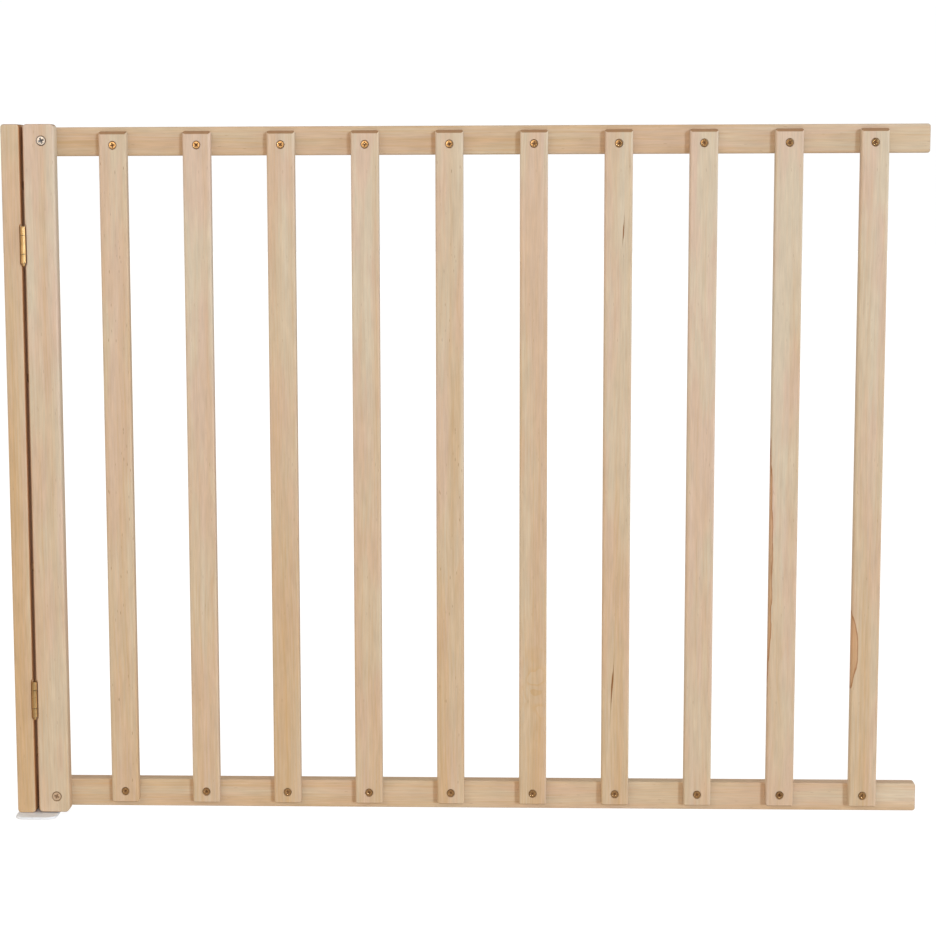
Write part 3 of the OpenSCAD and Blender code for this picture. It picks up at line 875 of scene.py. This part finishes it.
# A warm copy of the zinc for the lower stile screw: its warm tint is a painted reflection of the warm floor.
zinc_with_painted_reflection = metal("zinc with painted reflection", (240, 216, 188), (140, 110, 80), 0.5, 8)
for level, z in zip(("upper", "lower"), hinge_z):
    for owner, side in (("wall", -1), ("gate", 1)):
        fit(make_leaf(level, z, side), f"{level}_hinge_{owner}_leaf", brass)
    fit(make_pin(level, z), f"{level}_hinge_pin", brass)
for owner, side in (("wall", -1), ("gate", 1)):
    fit(make_leaf_screws(side), f"{owner}_leaf_screws", screw_brass)
for level in ("top", "bottom"):
    fit(make_slat_screws(level), f"{level}_slat_screws", screw_brass)
    # The lower stile screw gets the zinc copy with the painted floor reflection.
    stile_screw_zinc = zinc if level == "top" else zinc_with_painted_reflection
    fit(make_stile_screw(level), f"{level}_stile_screw", stile_screw_zinc)
fit(make_foot_screws(), "foot_plate_screws", zinc)
fit(make_foot_plate(), "foot_plate", moulded_plastic("white plastic"))


# ---- Floor, light and camera ----

def seen_or_lighting(start, seen, lighting, mirrored):
    """A colour that is one grey where the floor or the sky is seen, another colour where it lights, and a
    dark warm one where a shiny surface mirrors it."""
    unseen = start.add("LightPath", output="Is Glossy Ray").mix(lighting + (1,), mirrored + (1,))
    return start.add("LightPath", output="Is Camera Ray").mix(unseen, (seen,) * 3 + (1,))


def make_floor():
    half = 20
    corners = [(-half, -half), (half, -half), (half, half), (-half, half)]
    mesh = bpy.data.meshes.new("floor")
    mesh.from_pydata([(x, y, cad_box[0].z - 0.2 * mm) for x, y in corners], [], [(0, 1, 2, 3)])
    floor = bpy.data.objects.new("floor", mesh)
    bpy.context.scene.collection.objects.link(floor)
    material, start, shader = new_material("studio floor")
    shader["Base Color"].default_value = (0.25, 0.25, 0.25, 1)
    shader["Roughness"].default_value = 0.9
    shader["Specular IOR Level"].default_value = 0.0
    shader["Emission Strength"].default_value = 1
    feed(shader, "Emission Color", seen_or_lighting(start, 0.92, (0.3, 0.255, 0.21), (0.13, 0.08, 0.035)))
    mesh.materials.append(material)


def make_sky():
    world = bpy.data.worlds.new("studio")
    world.use_nodes = True
    start = Wire(world.node_tree)
    sky = world.node_tree.nodes["Background"].inputs
    feed(sky, "Color", seen_or_lighting(start, 1.02, (0.36, 0.36, 0.36), (0.09, 0.058, 0.026)))
    bpy.context.scene.world = world


def make_lamp(name, azimuth, elevation, strength, softness, colour, mirrored=True):
    """A far lamp that shines on the gate from an azimuth, counted to the right of the front, and an
    elevation. A lamp that isn't mirrored leaves no shine."""
    lamp = bpy.data.lights.new(name, "SUN")
    lamp.energy = strength
    lamp.angle = math.radians(softness)
    lamp.color = colour
    holder = bpy.data.objects.new(name, lamp)
    turn_z, rise = math.radians(azimuth), math.radians(elevation)
    toward = Vector((math.sin(turn_z) * math.cos(rise), -math.cos(turn_z) * math.cos(rise), math.sin(rise)))
    holder.rotation_euler = toward.to_track_quat("Z", "Y").to_euler()
    holder.visible_glossy = mirrored
    bpy.context.scene.collection.objects.link(holder)


def make_camera():
    """The camera stands in front of the gate, a little above its top, and looks down at it."""
    spot = Vector((0.0714, -2.8929, 0.7641))
    down, left, tilt = math.radians(7.808), math.radians(2.359), math.radians(-0.217)
    data = bpy.data.cameras.new("camera")
    data.sensor_width = 36
    data.lens = 96.15
    data.shift_x = 0.048
    data.shift_y = 0.045
    data.clip_end = 100
    camera = bpy.data.objects.new("camera", data)
    level = Matrix.Rotation(left, 4, "Z") @ Matrix.Rotation(math.pi / 2 - down, 4, "X")
    camera.matrix_world = Matrix.Translation(spot) @ level @ Matrix.Rotation(tilt, 4, "Z")
    bpy.context.scene.collection.objects.link(camera)
    bpy.context.scene.camera = camera


make_floor()
make_sky()
make_lamp("key", 25, 10, 1.12, 9, (0.75, 0.89, 1))
make_lamp("front fill", -29, 11, 1.22, 60, (1, 0.8, 0.6))
make_lamp("right fill", 78, 8, 1.4, 36, (0.99, 0.98, 1))
make_lamp("left fill", -105, 12, 0.8, 60, (0.93, 0.98, 1))
make_lamp("back fill", -165, 14, 1.3, 60, (1, 0.97, 0.92), mirrored=False)
make_camera()
bpy.context.scene.view_settings.view_transform = "Standard"
